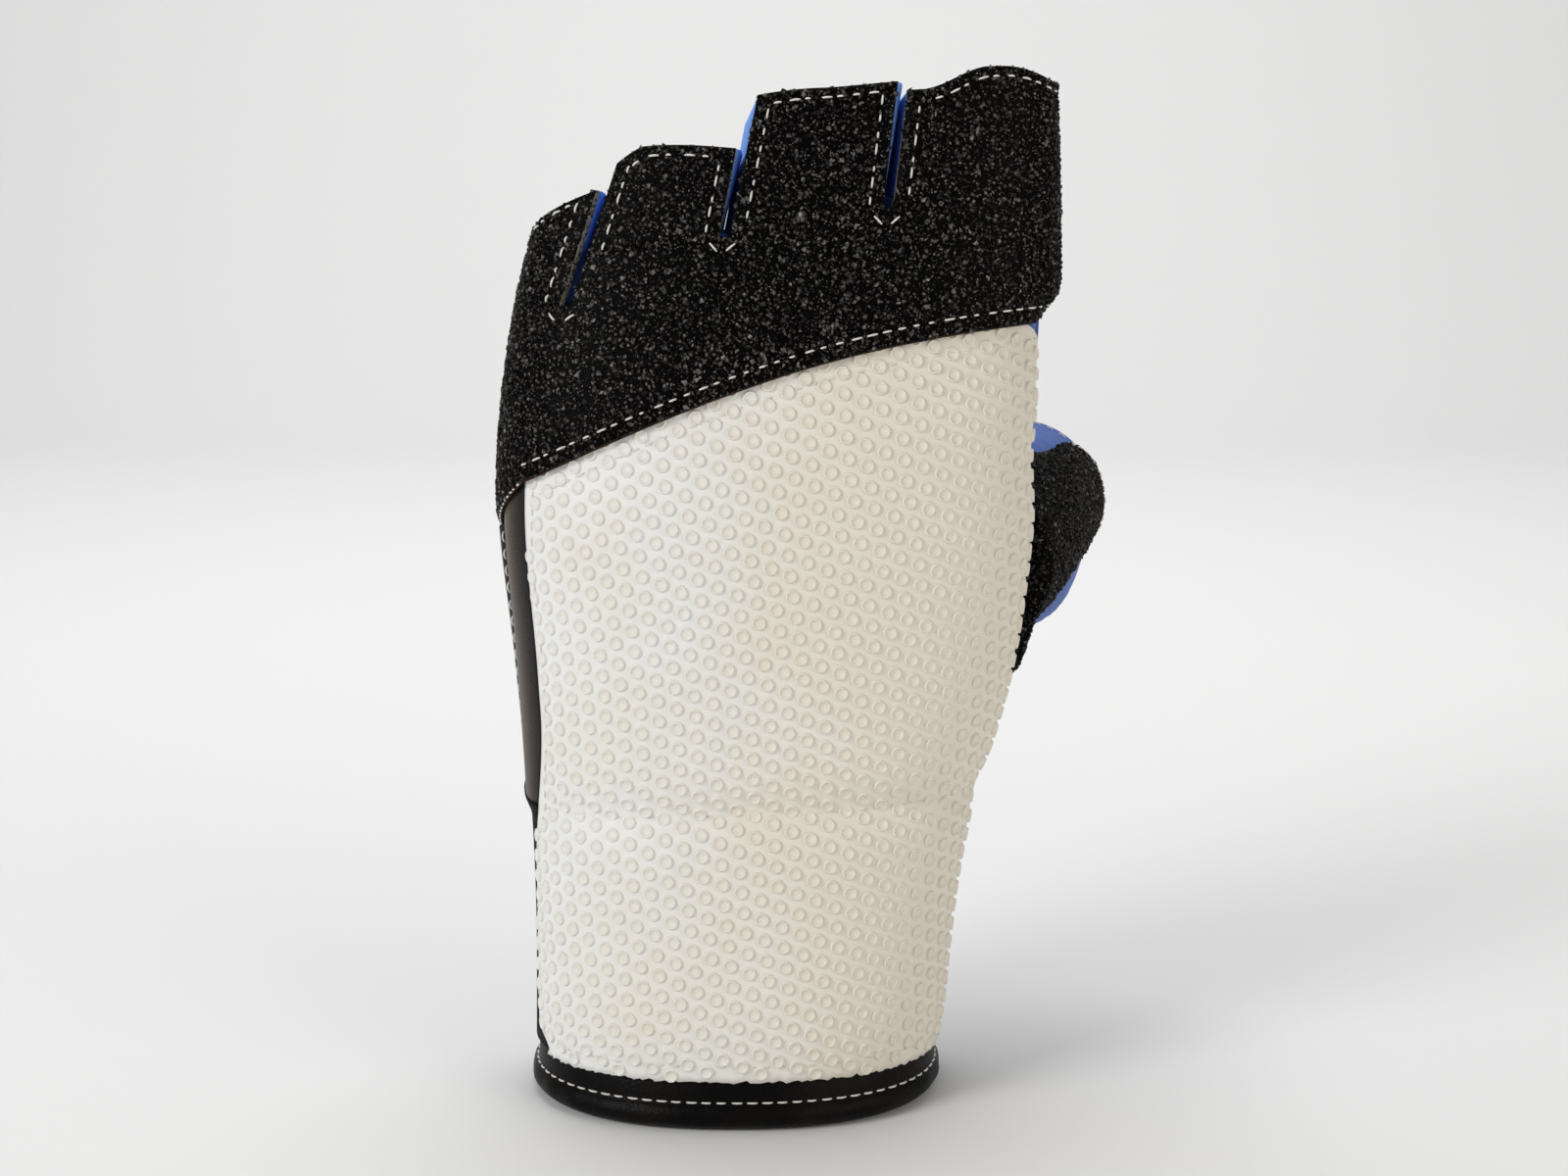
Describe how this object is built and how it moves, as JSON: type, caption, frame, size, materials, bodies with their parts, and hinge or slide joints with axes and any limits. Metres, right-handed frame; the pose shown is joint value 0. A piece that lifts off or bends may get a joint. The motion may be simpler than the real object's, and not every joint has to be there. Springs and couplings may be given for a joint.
{
  "type": "padded half-finger target glove",
  "caption": "Padded left-hand half-finger target glove: white pimpled rubber back, black grit rubber knuckles, blue leather palm and thumb stall, black rolled cuff.",
  "frame": {"origin": "middle of the bottom of the bounding box, on the plane that the rolled cuff stands on", "axes": "+Z from the cuff to the fingers, -Y the back of the hand, +X the thumb side"},
  "size_m": [0.1292, 0.0962, 0.2085],
  "materials": {
    "pimple_rubber": "moulded pimples, satin",
    "grit_rubber": "granulated, rough",
    "black_leather": "smooth grain, slight sheen",
    "blue_leather": "fine grain, matt",
    "elastic": "ribbed weave",
    "foam": "soft padding",
    "lining": "brushed"
  },
  "bodies": {
    "cuff": {"cuff_binding": "black_leather", "binding_core": "foam", "cuff_grip_panel": "pimple_rubber", "cuff_foam": "foam", "cuff_lining": "lining", "cuff_palm_leather": "black_leather", "elastic_insert": "elastic"},
    "hand": {"hand_grip_panel": "pimple_rubber", "hand_foam": "foam", "hand_lining": "lining", "knuckle_grip_panel": "grit_rubber", "knuckle_backing": "black_leather", "knuckle_foam": "foam", "outer_gusset": "black_leather", "outer_seam_welt": "black_leather", "palm_leather": "blue_leather", "palm_grip_patch": "grit_rubber", "thenar_grip_patch": "grit_rubber"},
    "thumb": {"thumb_stall": "blue_leather", "thumb_grip_patch": "grit_rubber"},
    "little": {"little_back_grip": "grit_rubber", "little_palm_leather": "blue_leather", "little_left_wall": "blue_leather", "little_right_wall": "blue_leather"},
    "ring": {"ring_back_grip": "grit_rubber", "ring_palm_leather": "blue_leather", "ring_left_wall": "blue_leather", "ring_right_wall": "blue_leather"},
    "middle": {"middle_back_grip": "grit_rubber", "middle_palm_leather": "blue_leather", "middle_left_wall": "blue_leather", "middle_right_wall": "blue_leather"},
    "index": {"index_back_grip": "grit_rubber", "index_palm_leather": "blue_leather", "index_left_wall": "blue_leather", "index_right_wall": "blue_leather"}
  },
  "joints": [
    {"name": "wrist_fold", "type": "hinge", "parent": "cuff", "child": "hand", "pos_m": [-0.01655, -0.04324, 0.0632], "axis": [0.9992, 0, 0.0401], "range_deg": [0, 20], "stiffness_Nm_per_rad": 0.6},
    {"name": "little_flex", "type": "hinge", "parent": "hand", "child": "little", "pos_m": [-0.05091, -0.0004, 0.1641], "axis": [-0.9521, 0, 0.3057], "range_deg": [0, 30], "stiffness_Nm_per_rad": 0.03},
    {"name": "ring_flex", "type": "hinge", "parent": "hand", "child": "ring", "pos_m": [-0.03192, 0.00261, 0.17425], "axis": [-0.9677, 0, 0.2521], "range_deg": [0, 30], "stiffness_Nm_per_rad": 0.03},
    {"name": "middle_flex", "type": "hinge", "parent": "hand", "child": "middle", "pos_m": [-0.00349, 0.00268, 0.1798], "axis": [-0.9869, 0, 0.1616], "range_deg": [0, 30], "stiffness_Nm_per_rad": 0.03},
    {"name": "index_flex", "type": "hinge", "parent": "hand", "child": "index", "pos_m": [0.02842, 0.00241, 0.183], "axis": [-0.9921, 0, 0.1253], "range_deg": [0, 30], "stiffness_Nm_per_rad": 0.03},
    {"name": "thumb_swing", "type": "hinge", "parent": "hand", "child": "thumb", "pos_m": [0.04847, -0.01914, 0.10963], "axis": [0, 0, -1], "range_deg": [0, 25], "stiffness_Nm_per_rad": 0.05}
  ]
}
